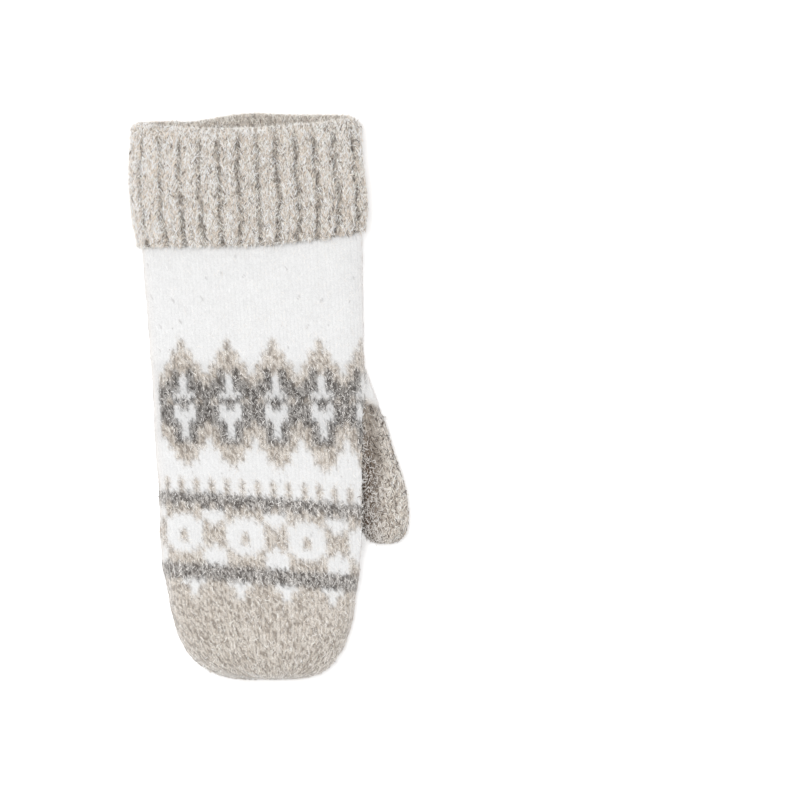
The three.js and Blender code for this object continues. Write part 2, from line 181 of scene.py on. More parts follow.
def cuffTube(y):
    row = follow(cuffSections, (y - freeEdgeY) / size.cuffDepth)
    return {
        "left": cuffX - row["left"] * size.cuffWidth / 2,
        "right": cuffX + row["right"] * size.cuffWidth / 2,
        "bottom": 0,
        "top": cuffThickness,
        "crown": cuffThickness * size.cuffCrown,
        "edgeLeft": cuffThickness / 2,
        "edgeRight": cuffThickness / 2,
        "tuck": 0,
        "round": 1,
        "close": 1,
    }


def handTube(y, inset):
    row = follow(handSections, (wristY - y) / size.handLength)
    fromTip = y - tipY - inset
    height = size.palmThickness * row["top"]
    raised = size.thumbLift + size.thumbThickness + size.seamGap
    cuff = cuffTube(y)
    lift = ease(y, freeEdgeY - size.liftRun, freeEdgeY)
    freeRight = freeEdgeY + size.edgeSwing
    leftIn = ease(y, freeEdgeY, freeEdgeY + size.hemRun)
    rightIn = ease(y, freeRight, freeRight + size.hemRun)
    edge = height * size.edgeShare
    middle = handX + size.tipLean * (1 - ease(fromTip, 0, size.leanLength))
    return {
        "left": mix(middle - row["left"] * size.palmWidth / 2, cuff["left"] + cuffInset, leftIn),
        "right": mix(middle + row["right"] * size.palmWidth / 2, cuff["right"] - cuffInset, rightIn),
        "bottom": mix(0, cuffInset, lift),
        "top": mix(height, cuffThickness - cuffInset, lift),
        "crown": mix(size.palmThickness * size.crownShare, cuff["crown"], lift),
        "edgeLeft": mix(edge, cuff["edgeLeft"], lift),
        "edgeRight": mix(mix(edge, raised, row["tuck"]), cuff["edgeRight"], lift),
        "tuck": row["tuck"],
        "round": bluntEnd(fromTip, size.tipRounding, size.endRoot),
        "close": roundEnd(fromTip, size.tipSlope),
    }


def thumbTube(y, inset):
    row = follow(thumbSections, (thumbRootY - y) / size.thumbLength)
    fromTip = y - thumbTipY - inset
    right = handEdgeX + size.thumbReach * row["out"]
    height = size.thumbThickness * row["top"]
    return {
        "left": right - size.thumbWidth * row["wide"],
        "right": right,
        "bottom": size.thumbLift,
        "top": size.thumbLift + height,
        "crown": height * size.crownShare,
        "edgeLeft": size.thumbLift + height * size.edgeShare,
        "edgeRight": size.thumbLift + height * size.edgeShare,
        "tuck": 0,
        "round": bluntEnd(fromTip, size.thumbRounding, size.thumbEndRoot),
        "close": roundEnd(fromTip, size.thumbSlope),
    }


# Places along a tube from its open end to its tip, closer together where the tip rounds off
def stations(start, end, rounding, along, tip):
    straight = np.linspace(start, end + rounding, along, endpoint=False)
    rounded = end + rounding * (1 - np.sin(np.linspace(0, math.pi / 2, tip)))
    return np.concatenate([straight, rounded])


# Lengths round a closed outline, from its first point to each point and back to the first
def lengthsRound(x, z):
    step = np.hypot(np.diff(x, append=x[:, :1]), np.diff(z, append=z[:, :1]))
    return np.concatenate([np.zeros((len(x), 1)), np.cumsum(step, 1)], 1)


# Values at some lengths round a closed outline, from those at its points
def valuesRound(at, lengths, values):
    return np.interp(at, lengths, np.append(values, values[0]))


# Outward normals of a grid of points whose rows close on themselves
def gridNormals(points):
    across = np.roll(points, -1, 1) - np.roll(points, 1, 1)
    along = np.gradient(points, axis=0)
    normal = np.cross(along, across)
    length = np.linalg.norm(normal, axis=2, keepdims=True)
    return normal / np.maximum(length, 1e-9)


# Which yarn each stitch has, and how the stitches stand out
knit = {
    "stitchWidth": 3.37, "courseHeight": 2.54, "columns": 60,
    "lean": 0.9,  # how far a leg of the V of a stitch leans, in courses
    "legPower": 0.6,  # rounds the legs
    "beadShare": 0.45,  # part of the relief that is in beads along a leg
    "reliefMiddle": 0.6,
    "legShades": (0.82, 1.05),  # painted shade on fibres from the gaps, and painted light on those from the legs
    "underNap": 0.45,  # the nap stands this far outside the knit
    "columnZero": (230.5, 0.057),  # pixel across at half height, and its drift for each pixel down
    "slantStarts": (420, 500),  # pixel heights over which the bands begin to slant
    "bandSlant": 0.075, "bandBow": 0.00012, "bandPivot": 258,  # they fall to the right
    "ringMiddle": 1,  # the stitch in the middle of a ring, where a star's is 0
    "dashReach": 0.65,  # a dash follows the legs of its stitch this far, in courses
    "plainSide": (-13, -12, -11, -10),  # these stitches at the left side have no stars
    "tufts": (5, 2.2),  # tufts of one shade in a stitch, across and along
    "tuftShare": 0.4,  # how far they show in the base under the nap
    "lookup": (0.24, 0.38),  # how far brushing drags fibres, in stitches and courses
}
# Pixel heights of the lower edges of some courses at the pivot, from the top of the star band
courseMarks = {
    "pixel": [-110, 338, 465, 477, 493.5, 510, 564.5, 580.5, 597, 731],
    "course": [-77.6, 0, 22, 24, 27, 30, 40, 43, 46, 70.5],
}
# One repeat of each band: half of it, from its middle stitch outwards
starBand = (
    "B... B... BB.. BB.. BBB. BDB. .DBB .DDB .DDD ..DD DDBD "
    "D.DD ..DD ..DD .DDB .DBB .DBB DDB. BBB. BB.. BB.. B..."
).split()
ringBand = "BBB.. ..B.. ...B. ...BB B..BB B..BB ...B. ..B.. BBB.. BBB..".split()
yarnOf = {".": 0, "B": 1, "D": 2}
starYarns = np.array([[yarnOf[letter] for letter in course] for course in starBand])
ringYarns = np.array([[yarnOf[letter] for letter in course] for course in ringBand])
# Courses where the bands start, and where the flecks end in plain beige
bands = {
    "stars": 0, "dashes": 24.4, "line": 27, "lineEdge": 29, "rings": 30, "lowLine": 40,
    "flecks": 43, "plain": 46,
}
tufts = random.random((97, 89))  # one shade for each tuft, repeated only after many stitches


# Course at a place, counted from the top of the star band towards the fingertips
def courseAt(x, y):
    across = x / pixel + pictureZero[0] - knit["bandPivot"]
    down = pictureZero[1] - y / pixel
    near = ease(down, *knit["slantStarts"])
    down = down - near * (knit["bandSlant"] * across + knit["bandBow"] * across**2)
    return np.interp(down, courseMarks["pixel"], courseMarks["course"])


# A course runs along the V legs of its stitches, so it is lowest between two of them
def lowered(column, course):
    return course - np.abs(column - np.floor(column + 0.5)) * 2 * knit["lean"]


# Stitches from the middle of the motif that a stitch is in
def fromMiddle(stitch, chart, middle):
    half = chart.shape[1] - 1
    return np.abs((stitch - middle + half) % (2 * half) - half)


# Yarns with those of a chart laid over them from its first course on
def charted(yarn, chart, start, row, aside):
    inChart = (row >= start) & (row < start + len(chart))
    return np.where(inChart, chart[np.clip(row - start, 0, len(chart) - 1), aside], yarn)


# 0 white, 1 beige or 2 charcoal for a place in stitches and courses
def yarnAt(column, course):
    stitch = np.floor(column + 0.5).astype(int)
    along = lowered(column, course)
    row = np.floor(along).astype(int)
    star = fromMiddle(stitch, starYarns, 0)
    ring = fromMiddle(stitch, ringYarns, knit["ringMiddle"])
    odd = stitch % 2 == 1
    white = np.zeros(np.broadcast(stitch, row).shape, int)
    starred = charted(white, starYarns, bands["stars"], row, star)
    yarn = np.where(np.isin(stitch, knit["plainSide"]), white, starred)
    dash = (along > bands["dashes"]) & (row < bands["line"]) & odd & (course - along < knit["dashReach"])
    yarn = np.where(dash, 1, yarn)
    yarn = np.where((row >= bands["line"]) & (row < bands["rings"]), 2, yarn)
    yarn = np.where(row == bands["lineEdge"], np.where(odd, 1, 2), yarn)
    yarn = charted(yarn, ringYarns, bands["rings"], row, ring)
    yarn = np.where((row >= bands["lowLine"]) & (row < bands["flecks"]), 2, yarn)
    fleck = (row < bands["plain"]) & (star == 0) | (row == bands["flecks"]) & (star == 1)
    return np.where(row >= bands["flecks"], np.where(fleck, 0, 1), yarn)


# How far the two legs of each stitch stand out, from 0 to 1
def stitchRelief(column, course):
    leg = np.abs(np.sin(2 * math.pi * column)) ** knit["legPower"]
    bead = np.abs(np.sin(math.pi * lowered(column, course)))
    return leg * (1 - knit["beadShare"] + knit["beadShare"] * bead)


# Shade of the tuft at a place, from 0 to 1
def tuftAt(column, course):
    across = np.floor(column * knit["tufts"][0]).astype(int) % tufts.shape[0]
    along = np.floor(lowered(column, course) * knit["tufts"][1]).astype(int) % tufts.shape[1]
    return tufts[across, along]


# Slow unevenness of soft knit, about -1 to 1
def slack(points, seed):
    waves = ((61, 0.4), (37, 1.9), (23, 3.1), (15, 5.0))
    total = 0
    for i, (length, turn) in enumerate(waves):
        along = points[..., 0] * math.cos(turn) + points[..., 1] * math.sin(turn)
        total = total + np.sin(along / length * 2 * math.pi + seed * (i + 1))
    return total / len(waves)


def addObject(name, data):
    added = bpy.data.objects.new(name, data)
    bpy.context.collection.objects.link(added)
    return added


def meshFrom(name, points, faces, colours, bakeUv, stitchUv=None, texture=1.0):
    mesh = bpy.data.meshes.new(name)
    corners = faces.ravel()
    mesh.vertices.add(len(points))
    mesh.vertices.foreach_set("co", (points * millimetre).astype(np.float32).ravel())
    mesh.loops.add(len(corners))
    mesh.loops.foreach_set("vertex_index", corners.astype(np.int32))
    mesh.polygons.add(len(faces))
    mesh.polygons.foreach_set("loop_start", np.arange(len(faces), dtype=np.int32) * faces.shape[1])
    mesh.update(calc_edges=True)
    mesh.polygons.foreach_set("use_smooth", np.ones(len(faces), bool))
    for label, uv in (("OFBake", bakeUv), ("stitches", stitchUv)):
        if uv is not None:
            layer = mesh.uv_layers.new(name=label)
            layer.data.foreach_set("uv", uv.astype(np.float32).ravel())
    # The yarn colour attribute carries the yarn's colour with any painted shade and painted rim light
    yarn = mesh.color_attributes.new("yarn", "FLOAT_COLOR", "POINT")
    rgba = np.ones((len(points), 4), np.float32)
    rgba[:, :3] = colours
    rgba[:, 3] = texture
    yarn.data.foreach_set("color", rgba.ravel())
    return addObject(name, mesh)


# A tube's grid of points as a mesh. Its rows close on themselves. It ends in a cap, or else its last row
# runs on into its first one.
def tubeMesh(name, grid, columns, courses, colours, texture, capped):
    rows, count = grid.shape[:2]
    spans = rows - 1 if capped else rows
    r, j = np.meshgrid(np.arange(spans), np.arange(count), indexing="ij")
    nextR, nextJ = (r + 1) % rows, (j + 1) % count
    corners = [(r, j), (nextR, j), (nextR, nextJ), (r, nextJ)]
    faces = np.stack([(a * count + b).ravel() for a, b in corners], 1)
    margin = 0.004
    bakeUv, stitchUv = [], []
    for i, (a, b) in enumerate(corners):
        u = margin + (j + (i in (2, 3))) / count * (1 - 2 * margin)
        v = margin + (r + (i in (1, 2))) / spans * (1 - 2 * margin)
        bakeUv.append(np.stack([u.ravel(), v.ravel()], 1))
        step = columns[0, 1] - columns[0, 0]
        c = columns[r, j] + step * (i in (2, 3))
        stitchUv.append(np.stack([c.ravel(), courses[a, b].ravel()], 1))
    points = grid.reshape(-1, 3)
    shades = colours.reshape(-1, 3)
    texture = np.broadcast_to(texture, grid.shape[:2]).ravel()
    bakeUv, stitchUv = np.stack(bakeUv, 1), np.stack(stitchUv, 1)
    if capped:
        hub = len(points)
        points = np.concatenate([points, grid[-1].mean(0, keepdims=True)])
        shades = np.concatenate([shades, colours[-1].mean(0, keepdims=True)])
        texture = np.append(texture, texture[-1])
        last = (rows - 1) * count
        k = np.arange(0, count, 2)
        fan = np.stack([last + k, np.full(len(k), hub), last + (k + 2) % count, last + (k + 1) % count], 1)
        faces = np.concatenate([faces, fan])
        bakeUv = np.concatenate([bakeUv, np.full((len(k), 4, 2), 1 - margin)])
        stitchUv = np.concatenate([stitchUv, np.zeros((len(k), 4, 2))])
    return meshFrom(name, points, faces, shades, bakeUv, stitchUv, texture)


# Colours of the yarns: the base under the nap, and its fibres with their parts of the whole
yarns = [
    {"base": "#EBEBEB", "fibres": ["#F4F4F4", "#EAEAEA", "#A5A2A0"], "parts": [0.5, 0.494, 0.006]},
    {"base": "#C8BEB3", "fibres": ["#FFF9F1", "#D8CDC1", "#695D54"], "parts": [0.44, 0.27, 0.29]},
    {"base": "#928C87", "fibres": ["#F8F4F0", "#958E88", "#1F1B19"], "parts": [0.49, 0.12, 0.39]},
]
baseColours = np.array([toLinear(yarn["base"]) for yarn in yarns])
# Painted rim light: the pale colour that the sides of the knit and of the nap are mixed towards
paintedRimLight = toLinear("#F6F2EE")


# Colour of a fibre from its yarn and a pick from 0 to 1
def fibreColours(kind, pick):
    colours = np.zeros((*kind.shape, 3))
    for i, yarn in enumerate(yarns):
        chosen = np.searchsorted(np.cumsum(yarn["parts"])[:-1], pick)
        palette = np.array([toLinear(colour) for colour in yarn["fibres"]])
        colours = np.where((kind == i)[..., None], palette[chosen], colours)
    return colours


# Yarn a little beside a place, because brushing drags fibres over
def yarnBeside(column, course):
    across, along = (random.normal(0, spread, column.shape) for spread in knit["lookup"])
    return yarnAt(column + across, course + along)


# Base colours softened where yarns meet, from a few looks at places nearby, with some of the tufts
def softBase(columns, courses):
    looks = 6
    tuft = tuftAt(columns, courses)
    total = 0
    for _ in range(looks):
        kind = yarnBeside(columns, courses)
        total = total + mix(baseColours[kind], fibreColours(kind, tuft), knit["tuftShare"])
    return total / looks


# Painted rim light: how far a surface pales where it turns away at the sides, most at the left, where light
# comes through
def paintedRimLightShare(normal, look):
    away = 1 - ease(normal[..., 2], *look["rimRange"])
    return away * np.where(normal[..., 0] < 0, look["rim"], look["rimRight"])


# Nap: fibres brushed out of the knit, each a curved ribbon along a leg of the stitch that it comes from.
# The knit's marks are its columns, its courses and the step between two of its columns.
def nap(name, count, grid, marks, weight, yarnOfSpot, look):
    columns, courses, step = marks
    rows, n = grid.shape[:2]
    r, j = np.meshgrid(np.arange(rows - 1), np.arange(n), indexing="ij")
    nextJ = (j + 1) % n
    a, b, c, d = grid[r, j], grid[r + 1, j], grid[r + 1, nextJ], grid[r, nextJ]
    normal = np.cross(b - d, a - c)
    area = np.linalg.norm(normal, axis=2) / 2
    normal = normal / np.maximum(area[..., None] * 2, 1e-9)
    up = mix(look["below"], 1, ease(normal[..., 2], *look["belowRange"]))
    chance = (area * weight * up).ravel()
    cell = random.choice(len(chance), count, p=chance / chance.sum())
    s, t = random.random(count), random.random(count)
    corner = [part.reshape(-1, 3)[cell] for part in (a, b, c, d)]
    root = mix(mix(corner[0], corner[3], s[:, None]), mix(corner[1], corner[2], s[:, None]), t[:, None])
    normal = normal.reshape(-1, 3)[cell]
    row, spot = cell // n, cell % n
    column = columns[row, spot] + s * step
    course = mix(courses[row, spot], courses[row + 1, spot], t)
    kind, shade = yarnOfSpot(row, spot, column, course)

    leftLeg = (column + 0.5) % 1 < 0.5
    legTurn = np.where(leftLeg, look["legTurn"], -look["legTurn"])
    legTurn = legTurn + random.normal(0, look["legSpread"], count) + math.pi * random.integers(0, 2, count)
    anyTurn = random.uniform(0, 2 * math.pi, count)
    heading = np.where(random.random(count) < look["legShare"], legTurn, anyTurn)
    stray = random.random(count) < look["stray"]
    strayLift = random.uniform(*look["strayLift"], count)
    climb = np.radians(np.where(stray, strayLift, random.uniform(*look["lift"], count)))
    length = random.uniform(*look["length"], count) * np.where(kind == 0, look["whiteLength"], 1)
    bow = random.normal(0, look["bow"], count)
    sag = climb * random.uniform(*look["sag"], count) / look["bends"]
    roll = random.uniform(-1, 1, count)
    sidewise = np.cross([0, 1, 0], normal)
    sidewise /= np.linalg.norm(sidewise, axis=1, keepdims=True) + 1e-9
    lengthwise = np.cross(normal, sidewise)
    half = random.uniform(*look["width"], count) / 2
    place = root - normal * look["rooted"]
    points = []
    for _ in range(look["bends"]):
        flat = lengthwise * np.cos(heading)[:, None] + sidewise * np.sin(heading)[:, None]
        across = np.cross(flat, normal) * np.cos(roll)[:, None] + normal * np.sin(roll)[:, None]
        points += [place - across * half[:, None], place + across * half[:, None]]
        forward = np.sin(climb)[:, None] * normal + np.cos(climb)[:, None] * flat
        place = place + forward * (length / look["bends"])[:, None]
        heading, climb = heading + bow, climb - sag
    points = np.stack(points + [place], 1)
    points[..., 2] = np.maximum(points[..., 2], look["overFloor"])

    ribbon = []
    for i in range(look["bends"] - 1):
        ribbon += [[2 * i, 2 * i + 1, 2 * i + 3], [2 * i, 2 * i + 3, 2 * i + 2]]
    ribbon.append([2 * look["bends"] - 2, 2 * look["bends"] - 1, 2 * look["bends"]])
    each = 2 * look["bends"] + 1
    faces = (np.arange(count)[:, None, None] * each + np.array(ribbon)).reshape(-1, 3)
    pick = np.where(random.random(count) < look["tufted"], tuftAt(column, course), random.random(count))
    pick = pick * look["picked"]
    colours = fibreColours(kind, pick) * random.normal(1, look["mottled"], (count, 1))
    colours = colours * np.reshape(shade, (count, -1))
    # Painted rim light where the fibre's surface turns away at the sides
    colours = np.clip(mix(colours, paintedRimLight, paintedRimLightShare(normal, look)[:, None]), 0, look["palest"])
    cells = math.ceil(math.sqrt(count))
    inGrid = np.stack([np.arange(count) % cells, np.arange(count) // cells], 1)[:, None, :]
    down = np.arange(each)
    margin = 0.2
    inCell = mix(margin, 1 - margin, np.stack([down % 2, down // 2 / look["bends"]], 1))
    uv = ((inGrid + inCell) / cells).reshape(-1, 2)[faces]
    return meshFrom(name, points.reshape(-1, 3), faces, np.repeat(colours, each, 0), uv)


def addNode(tree, kind, inputs, **settings):
    node = tree.nodes.new(kind)
    for key, value in settings.items():
        setattr(node, key, value)
    for key, value in inputs.items():
        if isinstance(value, bpy.types.NodeSocket):
            tree.links.new(value, node.inputs[key])
        else:
            node.inputs[key].default_value = value
    return node


def emptyMaterial(name):
    material = bpy.data.materials.new(name)
    material.use_nodes = True
    material.node_tree.nodes.clear()
    return material, material.node_tree


# Brushed wool-blend knit: loops of soft yarn raised by a wire brush, so it is matt and slightly mottled,
# with shaded gaps between the legs of each stitch
def brushedWoolKnit(name, look):
    material, tree = emptyMaterial(name)
    place = addNode(tree, "ShaderNodeTexCoord", {}).outputs["Object"]
    dyed = addNode(tree, "ShaderNodeAttribute", {}, attribute_name="yarn")
    yarn, texture = dyed.outputs["Color"], dyed.outputs["Alpha"]
    uv = addNode(tree, "ShaderNodeUVMap", {}, uv_map="stitches").outputs["UV"]
    spot = addNode(tree, "ShaderNodeSeparateXYZ", {"Vector": uv})

    def reckon(operation, a, b=0.0):
        return addNode(tree, "ShaderNodeMath", {0: a, 1: b}, operation=operation).outputs[0]

    def noise(spread, detail):
        scaled = {"Vector": place, "Scale": 1 / (look[spread] * millimetre)}
        return addNode(tree, "ShaderNodeTexNoise", scaled | {"Detail": detail, "Roughness": 0.7}).outputs[0]

    def ranged(value, low, high, start, end):
        limits = {"From Min": low, "From Max": high, "To Min": start, "To Max": end}
        return addNode(tree, "ShaderNodeMapRange", {"Value": value} | limits).outputs[0]

    # The same relief as stitchRelief, whose columns these UVs hold with half a stitch added
    u = reckon("FRACT", spot.outputs["X"])
    wave = reckon("ABSOLUTE", reckon("SINE", reckon("MULTIPLY", u, 2 * math.pi)))
    leg = reckon("POWER", wave, knit["legPower"])
    aside = reckon("ABSOLUTE", reckon("SUBTRACT", u, 0.5))
    course = reckon("SUBTRACT", spot.outputs["Y"], reckon("MULTIPLY", aside, 2 * knit["lean"]))
    bead = reckon("ABSOLUTE", reckon("SINE", reckon("MULTIPLY", course, math.pi)))
    beads = reckon("MULTIPLY", bead, knit["beadShare"])
    relief = reckon("MULTIPLY", leg, reckon("ADD", 1 - knit["beadShare"], beads))

    standing = reckon("MULTIPLY", relief, texture)
    height = reckon("ADD", standing, reckon("MULTIPLY", noise("fuzz", detail=4.0), look["fuzzShare"]))
    depth = {"Height": height, "Strength": look["bump"], "Distance": look["reliefDepth"] * millimetre}
    bump = addNode(tree, "ShaderNodeBump", depth)
    gap = ranged(relief, 0.0, look["gapUpTo"], look["gapShade"], 1.0)
    fleck = ranged(noise("fleck", detail=3.0), *look["fleckRange"], *look["fleckShades"])
    uneven = ranged(noise("mottle", detail=2.0), *look["mottleRange"], 1 - look["uneven"], 1.0)
    marked = reckon("MULTIPLY", reckon("SUBTRACT", reckon("MULTIPLY", gap, fleck), 1.0), texture)
    shade = reckon("MULTIPLY", reckon("ADD", marked, 1.0), uneven)
    colour = addNode(tree, "ShaderNodeVectorMath", {0: yarn, "Scale": shade}, operation="SCALE").outputs[0]
    surface = {"Base Color": colour, "Roughness": 0.95, "Specular IOR Level": 0.2}
    surface |= {"Sheen Weight": 0.15, "Sheen Roughness": 0.6, "Normal": bump.outputs[0]}
    cloth = addNode(tree, "ShaderNodeBsdfPrincipled", surface)
    addNode(tree, "ShaderNodeOutputMaterial", {"Surface": cloth.outputs[0]})
    return material


# Loose wool fibres: each has one colour of the heather yarn, with painted shade and painted rim light in
# it, and hardly any gloss
def looseWool(name):
    material, tree = emptyMaterial(name)
    yarn = addNode(tree, "ShaderNodeAttribute", {}, attribute_name="yarn").outputs["Color"]
    surface = {"Base Color": yarn, "Roughness": 0.8, "Specular IOR Level": 0.25}
    fibre = addNode(tree, "ShaderNodeBsdfPrincipled", surface)
    addNode(tree, "ShaderNodeOutputMaterial", {"Surface": fibre.outputs[0]})
    return material


knitLook = {
    "fuzz": 1.1, "fuzzShare": 0.5, "bump": 0.7, "reliefDepth": 0.5, "gapShade": 0.86, "gapUpTo": 0.6,
    "mottle": 9, "mottleRange": (0.3, 0.7), "uneven": 0.04,
    "fleck": 0.5, "fleckRange": (0.38, 0.62), "fleckShades": (0.72, 1.12),
}
handWool = brushedWoolKnit("brushedWoolKnit", knitLook)
ribWool = brushedWoolKnit("brushedWoolRib", knitLook | {"reliefDepth": 0.7, "gapShade": 0.8})
napWool = looseWool("looseWoolFibres")


def dress(piece, material, node=None):
    piece.data.materials.append(material)
    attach(piece, "root")
    if node:
        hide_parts(node)
    print("mitten:", piece.name, len(piece.data.polygons), "faces")


nearNap = {
    "bends": 2, "lift": (2, 16), "stray": 0.03, "length": (1.2, 3.2), "width": (0.16, 0.32), "bow": 0.3,
    "below": 0.1, "whiteLength": 1.2, "legShare": 0.78, "legTurn": 0.38, "legSpread": 0.3, "rooted": 0.1,
    # rim, rimRight and rimRange set the painted rim light on the left and right sides
    "tufted": 0.75, "picked": 1, "mottled": 0.08, "rim": 0.8, "rimRight": 0.35, "rimRange": (0.4, 0.92),
    "belowRange": (-0.5, 0.35), "strayLift": (30, 60), "sag": (0.3, 1.6), "overFloor": 0.05, "palest": 0.95,
}
# Longer single hairs that curl over the nap
guardHairs = nearNap | {
    "bends": 4, "length": (3, 6.5), "width": (0.12, 0.2), "lift": (6, 22), "stray": 0.12, "bow": 0.5,
    "legShare": 0.4, "legSpread": 0.6, "tufted": 0, "picked": 0.6, "mottled": 0.15,
}
fibreCount = {
    "napHandA": 60000, "napHandB": 60000, "hairsHand": 1200, "napThumb": 20000, "hairsThumb": 500,
    "napCuff": 64000, "hairsCuff": 900,
}


# Nap and hairs of a knit surface, which is its grid, marks, weight and yarns
def brush(surface, looks):
    for name, look in looks.items():
        count = fibreCount[name] // 1
        dress(nap(name, count, *surface, look), napWool)


# The hand, whose mesh columns are fifths of a stitch
hand = {
    "stitchPoints": 5,
    "hidden": 8,  # coarse rings inside the cuff
    "hiddenPast": 2,  # they end this far outside its hem
    "shown": 232, "tip": 44,
    "tipSpan": 20,  # the rings stand closer together over this length
    "tipSink": 6,  # and the tip sinks under its nap over this one
    "hollow": 10,
    "hollowShort": 1,  # the hollow ends this far before the wall of the tip
    "relief": 0.3,
    "textures": [0.3, 1, 1.6],  # the white yarn is felted smoother, the charcoal one is the coarsest
    "napWeights": [0.4, 1, 1.25],  # the white yarn hides its own nap, so it gets less
    "napUnderCuff": 8,
    "starShades": [0.89, 0.92, 0.68],  # strands crossing behind darken the yarns of the star band
    "shadeStarts": (3, 6), "shadeEnds": (16, 20),  # over these courses
    "slack": 0.35, "slackSeed": 2.0,
    "slackOver": 3,  # the underside below this height lies flat
    "lining": "#D8D2CB",
}
# The gusset, where the thumb swells out of the side of the hand
gusset = {
    "middle": (30, 8),  # the outlines of hand and thumb are joined round this place
    "before": 3,  # it starts this far before the thumb's root
    "grows": 7,  # and swells over this length
    "past": 9,  # it ends at most this far past the middle of the seam
    "seamFade": (-1.2, 0.8),
    "blend": 0.6,
    "full": 1.2,  # what swells this far has the gusset's own colours
    "white": (-0.5, 3.5),  # it turns white over this range past the edge of the hand
    "beigeFades": (-1, 6),  # over this length before the thumb's seam
    "farOut": (2, 12), "beigeFarOut": 0.5,
}
dense = 720  # points of an outline before it is divided into stitches
turns = np.arange(dense) / dense


def gathers(turn, y):
    near = 1 - ease(y - tipY, 0, size.gatherLength)
    return size.gatherDepth * near * (0.5 + 0.5 * np.cos(2 * math.pi * size.tipGathers * turn)) ** 2


# How far past the thumb's slanted seam a place lies, towards the thumb's tip
def pastSeam(y, z):
    lean = math.tan(math.radians(size.seamSlant))
    return seamY + (z - size.thumbThickness / 2) * lean - y


# The hand's outlines with the gusset of the thumb swelling out of its side, and how far it swells
def handOutlines(y, inset, relief):
    x, z = outline(handTube(y[:, None], inset), inset + relief, turns[None, :])
    tx, tz = outline(thumbTube(y[:, None], inset), inset, turns[None, :])
    swell = np.zeros_like(x)
    middleX, middleZ = gusset["middle"]
    start, end = thumbRootY + gusset["before"], seamY - gusset["past"]
    for i in np.flatnonzero((y < start) & (y > end)):
        angle = np.arctan2(z[i] - middleZ, x[i] - middleX)
        radius = np.hypot(z[i] - middleZ, x[i] - middleX)
        around = np.arctan2(tz[i] - middleZ, tx[i] - middleX)
        reach = np.interp(angle, around, np.hypot(tz[i] - middleZ, tx[i] - middleX), period=2 * math.pi)
        height = middleZ + reach * np.sin(angle)
        share = ease(-pastSeam(y[i], height), *gusset["seamFade"]) * ease(start - y[i], 0, gusset["grows"])
        over = reach - radius
        push = share * (over + np.sqrt(over**2 + gusset["blend"])) / 2
        x[i] += push * np.cos(angle)
        z[i] += push * np.sin(angle)
        swell[i] = push * (x[i] > middleX)
    return x, np.maximum(z, 0), swell


# Points of the hand at whole fractions of its stitches, so that the mesh runs with the knit
def handGrid(y, inset, relief):
    x, z, swell = handOutlines(y, inset, relief)
    plain = handTube(y[:, None], inset) | {"round": 1, "close": 1}
    px, pz = outline(plain, inset, turns[None, :])
    around, plainAround = lengthsRound(x, z), lengthsRound(px, pz)
    halfway = dense // 2
    across, drift = knit["columnZero"]
    zeroX = (across + drift * (pictureZero[1] - y / pixel - pictureSide / 2) - pictureZero[0]) * pixel
    count = knit["columns"] * hand["stitchPoints"]
    column = -knit["columns"] / 2 + np.arange(count) / hand["stitchPoints"]
    grid = np.zeros((len(y), count, 3))
    swellGrid = np.zeros((len(y), count))
    for i in range(len(y)):
        top = plainAround[i, halfway]
        zero = np.interp(zeroX[i], px[i, :halfway], plainAround[i, :halfway])
        left, right = -zero / knit["stitchWidth"], (top - zero) / knit["stitchWidth"]
        c = left + (column - left) % knit["columns"]
        above = (c - left) / (right - left)
        below = (c - right) / (left + knit["columns"] - right)
        ring = around[i]
        at = np.where(c < right, above * ring[halfway], mix(ring[halfway], ring[-1], below))
        grid[i, :, 0] = valuesRound(at, ring, x[i])
        grid[i, :, 2] = valuesRound(at, ring, z[i])
        swellGrid[i] = valuesRound(at, ring, swell[i])
    grid[..., 1] = y[:, None]
    return grid, np.broadcast_to(column, (len(y), count)), swellGrid


# Moves a knit surface in under its nap, also at the closed end of its tube
def sinkUnderNap(points, raised, endY, endLength):
    nearEnd = ease(points[..., 1] - endY, 0, endLength)
    points = points + gridNormals(points) * ((raised - knit["underNap"]) * nearEnd)[..., None]
    points[..., 1] += knit["underNap"] * (1 - nearEnd)
    points[..., 2] = np.maximum(points[..., 2], 0)
    return points


# Shade of the yarns in the star band, which fades out towards its edges
def starShade(kind, course):
    inStars = ease(course, *hand["shadeStarts"]) * (1 - ease(course, *hand["shadeEnds"]))
    return mix(1, np.array(hand["starShades"])[kind], inStars)


shownStart = freeEdgeY - hand["hiddenPast"]
hiddenY = np.linspace(wristY, shownStart, hand["hidden"], endpoint=False)
shownY = stations(shownStart, tipY, hand["tipSpan"], hand["shown"], hand["tip"])
handY = np.concatenate([hiddenY, shownY])
handPoints, handColumns, swell = handGrid(handY, 0, gathers(turns[None, :], handY[:, None]))
handCourses = courseAt(handPoints[..., 0], handPoints[..., 1])
pastEdge = handPoints[..., 0] - handEdgeX
swollen = np.clip(swell / gusset["full"], 0, 1)
gussetShare = swollen * ease(pastEdge, *gusset["white"])
handYarns = np.where(gussetShare > 0.5, 0, yarnAt(handColumns, handCourses))
handTexture = np.array(hand["textures"])[handYarns]
handRelief = stitchRelief(handColumns, handCourses) - knit["reliefMiddle"]
handRaised = hand["relief"] * handRelief * np.minimum(handTexture, 1)
handSlack = hand["slack"] * slack(handPoints, hand["slackSeed"])
handRaised += handSlack * (handPoints[..., 2] > hand["slackOver"])
handPoints = sinkUnderNap(handPoints, handRaised, tipY, hand["tipSink"])
handColours = softBase(handColumns, handCourses) * starShade(handYarns, handCourses)[..., None]
handColours = mix(handColours, baseColours[0], gussetShare[..., None])
